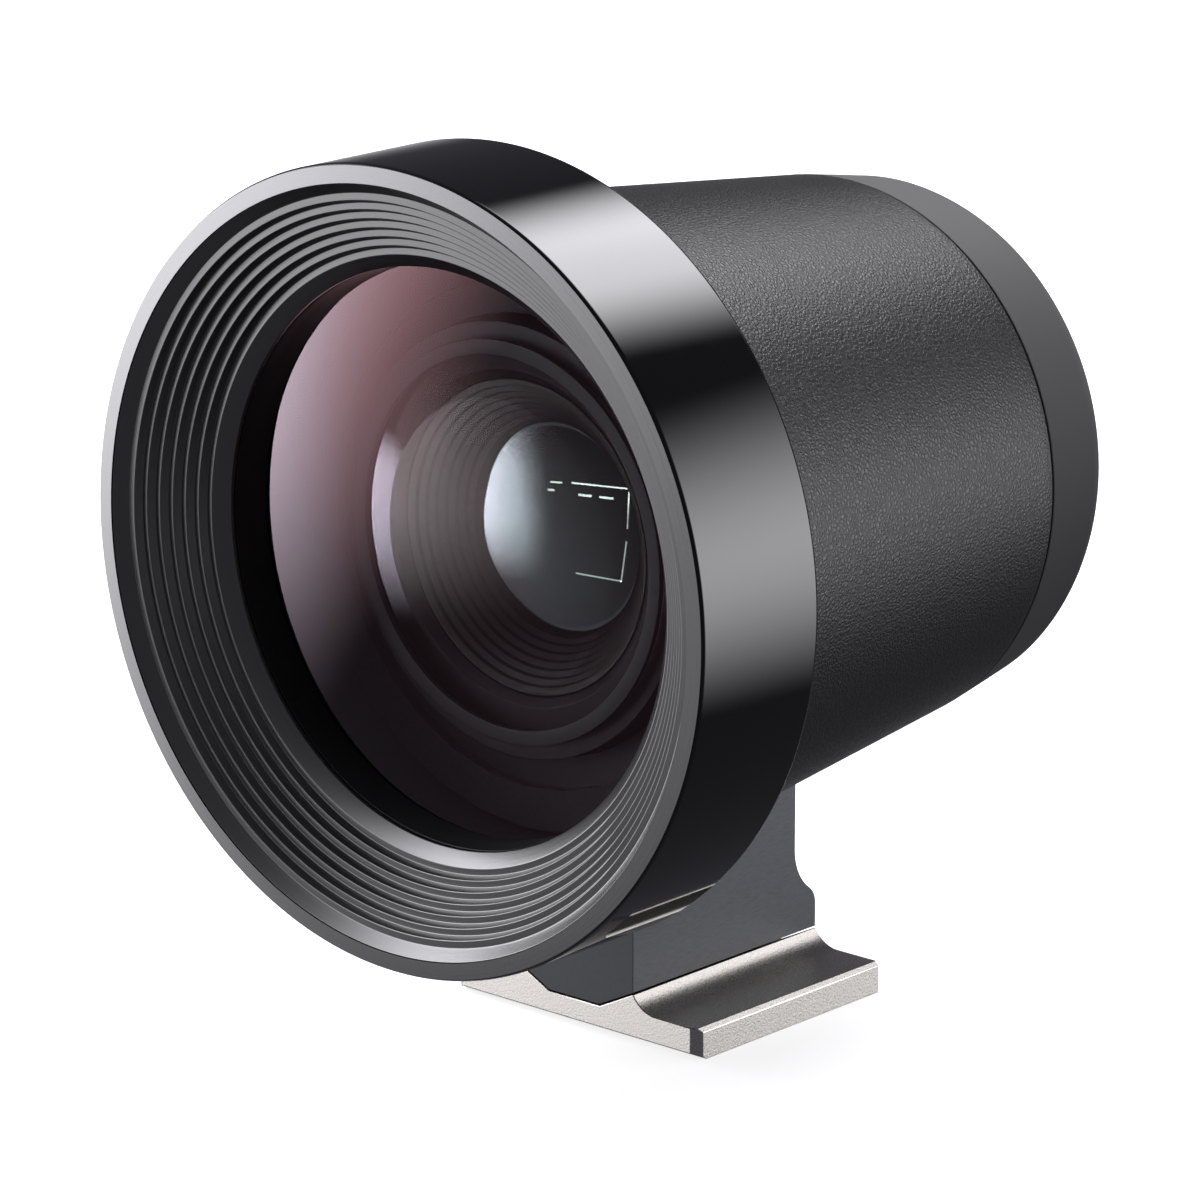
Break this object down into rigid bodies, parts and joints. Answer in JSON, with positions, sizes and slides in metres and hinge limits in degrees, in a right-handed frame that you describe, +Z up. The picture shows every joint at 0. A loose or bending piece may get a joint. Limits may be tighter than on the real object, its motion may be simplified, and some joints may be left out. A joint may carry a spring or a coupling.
{
  "type": "shoe-mount optical finder",
  "caption": "Shoe-mount optical finder: stepped hood and domed coated lens on a tapering barrel with a smooth rear cap, on a pedestal and an accessory-shoe foot.",
  "frame": {"origin": "centre of the flat underside of the accessory-shoe foot", "axes": "+Z up, +Y along the optical axis from the front rim towards the eyepiece, +X to the right seen from the front of the hood looking along +Y"},
  "size_m": [0.045, 0.0465, 0.052],
  "materials": {
    "gloss_black": "high gloss black enamel over aluminium",
    "satin_grey": "fine-turned grey anodised aluminium",
    "matte_black": "matte black anodised aluminium",
    "leather_grain": "fine-grained black leatherette",
    "cap_grey": "smooth matte charcoal paint over aluminium",
    "anodised_dark": "fine-brushed dark anodised aluminium",
    "nickel": "satin nickel with a fine pearl-blast grain",
    "steel": "plain machined steel",
    "rubber": "soft black rubber",
    "coated_glass": "polished glass with a pink-mauve anti-reflection coating",
    "clear_glass": "polished clear glass",
    "mirror_glass": "polished glass with a half-silvered coating"
  },
  "bodies": {
    "root": {"hood_ring": "gloss_black", "baffle_ring": "satin_grey", "front_retainer": "matte_black", "front_lens": "coated_glass", "front_lens_seal": "rubber", "main_barrel": "matte_black", "grip_sleeve": "leather_grain", "rear_cap": "cap_grey", "inner_cell": "matte_black", "second_lens": "coated_glass", "second_lens_retainer": "matte_black", "ridged_stop": "matte_black", "third_lens": "mirror_glass", "third_lens_retainer": "matte_black", "frame_reticle": "clear_glass", "spacer_tube": "matte_black", "semi_mirror_lens": "mirror_glass", "rear_retainer": "matte_black", "eyepiece_cell": "matte_black", "eyepiece_lens": "clear_glass", "eyepiece_retainer": "matte_black", "eye_ring": "rubber", "pedestal": "anodised_dark", "shoe_foot": "nickel", "foot_screw_1": "steel", "foot_screw_2": "steel", "foot_screw_3": "steel", "foot_screw_4": "steel", "pedestal_screw_1": "steel", "pedestal_screw_2": "steel", "cap_screw_1": "steel", "cap_screw_2": "steel", "cap_screw_3": "steel"}
  },
  "joints": []
}
